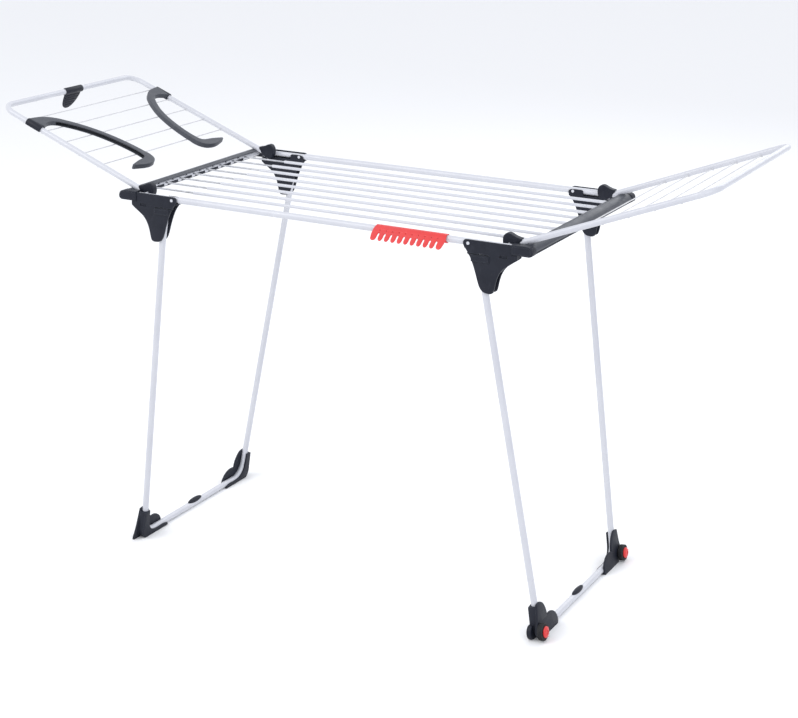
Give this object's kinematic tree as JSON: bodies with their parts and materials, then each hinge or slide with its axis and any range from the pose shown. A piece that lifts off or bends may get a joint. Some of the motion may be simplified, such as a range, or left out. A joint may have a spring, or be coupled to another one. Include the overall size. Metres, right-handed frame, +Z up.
{
  "type": "winged clothes drying rack",
  "caption": "Floor-standing clothes airer: extending rail-and-rod frame on folding U-shaped legs with wheels, folding line wings, hanger arms and a comb clip.",
  "frame": {"origin": "on the floor, under the middle of the rack's overall box, with the frame closed and both wings open", "axes": "+X along the rails towards the wheeled end, +Y towards the back, +Z up"},
  "size_m": [1.7804, 0.6003, 1.059],
  "materials": {
    "white_steel": "smooth white powder coat, half gloss, faint cool tint",
    "zinc_steel": "bright zinc-plated rod, drawn along its length",
    "line_wire": "thin plastic-coated wire, pale grey",
    "dark_plastic": "moulded polypropylene, dark anthracite, fine satin grain",
    "grey_plastic": "moulded plastic, mid dark grey, smoother sheen",
    "tyre_rubber": "plain hard rubber tread",
    "red_plastic": "bright red glossy moulding"
  },
  "bodies": {
    "main_frame": {"rail_front": "white_steel", "rail_back": "white_steel", "rod_1": "white_steel", "rod_2": "white_steel", "rod_3": "white_steel", "rod_4": "white_steel", "rod_5": "white_steel", "rod_6": "white_steel", "rod_7": "white_steel", "rod_8": "white_steel", "end_bar_right": "white_steel", "end_cover_right": "grey_plastic", "bracket_front_right": "dark_plastic", "bracket_back_right": "dark_plastic"},
    "extension_frame": {"inner_rail_front": "white_steel", "inner_rail_back": "white_steel", "inner_rod_1": "zinc_steel", "inner_rod_2": "zinc_steel", "inner_rod_3": "zinc_steel", "inner_rod_4": "zinc_steel", "inner_rod_5": "zinc_steel", "inner_rod_6": "zinc_steel", "inner_rod_7": "zinc_steel", "inner_rod_8": "zinc_steel", "end_bar_left": "white_steel", "end_cover_left": "grey_plastic", "bracket_front_left": "dark_plastic", "bracket_back_left": "dark_plastic"},
    "left_leg_frame": {"leg_tube_left": "white_steel", "foot_front_left": "dark_plastic", "foot_back_left": "dark_plastic", "cross_pad_left": "dark_plastic"},
    "right_leg_frame": {"leg_tube_right": "white_steel", "foot_front_right": "dark_plastic", "foot_back_right": "dark_plastic", "cross_pad_right": "dark_plastic"},
    "wheel_front": {"tyre_front": "tyre_rubber", "hub_cap_front": "red_plastic"},
    "wheel_back": {"tyre_back": "tyre_rubber", "hub_cap_back": "red_plastic"},
    "left_wing": {"wing_tube_left": "white_steel", "cam_front_left": "dark_plastic", "cam_back_left": "dark_plastic", "line_left_1": "line_wire", "line_left_2": "line_wire", "line_left_3": "line_wire", "line_left_4": "line_wire", "line_left_5": "line_wire"},
    "wing_latch": {"wing_latch": "dark_plastic"},
    "hanger_arm_front": {"hanger_arm_front": "grey_plastic"},
    "hanger_arm_back": {"hanger_arm_back": "grey_plastic"},
    "right_wing": {"wing_tube_right": "white_steel", "cam_front_right": "dark_plastic", "cam_back_right": "dark_plastic", "line_right_1": "line_wire", "line_right_2": "line_wire", "line_right_3": "line_wire", "line_right_4": "line_wire", "line_right_5": "line_wire"},
    "small_items_clip": {"small_items_clip": "red_plastic"}
  },
  "joints": [
    {"name": "extension_slide", "type": "slide", "parent": "main_frame", "child": "extension_frame", "axis": [-1, 0, 0], "range_m": [0, 0.6]},
    {"name": "left_leg_fold", "type": "hinge", "parent": "extension_frame", "child": "left_leg_frame", "pos_m": [-0.397, 0, 0.859], "axis": [0, -1, 0], "range_deg": [0, 99]},
    {"name": "right_leg_fold", "type": "hinge", "parent": "main_frame", "child": "right_leg_frame", "pos_m": [0.397, 0, 0.859], "axis": [0, 1, 0], "range_deg": [0, 95]},
    {"name": "left_wing_fold", "type": "hinge", "parent": "extension_frame", "child": "left_wing", "pos_m": [-0.455, 0, 0.892], "axis": [0, 1, 0], "range_deg": [0, 146]},
    {"name": "right_wing_fold", "type": "hinge", "parent": "main_frame", "child": "right_wing", "pos_m": [0.455, 0, 0.892], "axis": [0, -1, 0], "range_deg": [0, 158]},
    {"name": "hanger_arm_front_turn", "type": "hinge", "parent": "left_wing", "child": "hanger_arm_front", "pos_m": [-0.78043, -0.256, 1.01254], "axis": [0.9323, 0, -0.3616], "range_deg": [0, 180]},
    {"name": "hanger_arm_back_turn", "type": "hinge", "parent": "left_wing", "child": "hanger_arm_back", "pos_m": [-0.78043, 0.256, 1.01254], "axis": [-0.9323, 0, 0.3616], "range_deg": [0, 180]},
    {"name": "wing_latch_turn", "type": "hinge", "parent": "left_wing", "child": "wing_latch", "pos_m": [-0.87833, 0, 1.05051], "axis": [0, 1, 0], "range_deg": [-30, 60]},
    {"name": "wheel_front_spin", "type": "hinge", "parent": "right_leg_frame", "child": "wheel_front", "pos_m": [0.55303, -0.238, 0.0216], "axis": [0.9869, 0, 0.1614], "continuous": true},
    {"name": "wheel_back_spin", "type": "hinge", "parent": "right_leg_frame", "child": "wheel_back", "pos_m": [0.55303, 0.238, 0.0216], "axis": [0.9869, 0, 0.1614], "continuous": true},
    {"name": "small_items_clip_slide", "type": "slide", "parent": "main_frame", "child": "small_items_clip", "axis": [1, 0, 0], "range_m": [-0.5, 0.035]}
  ]
}
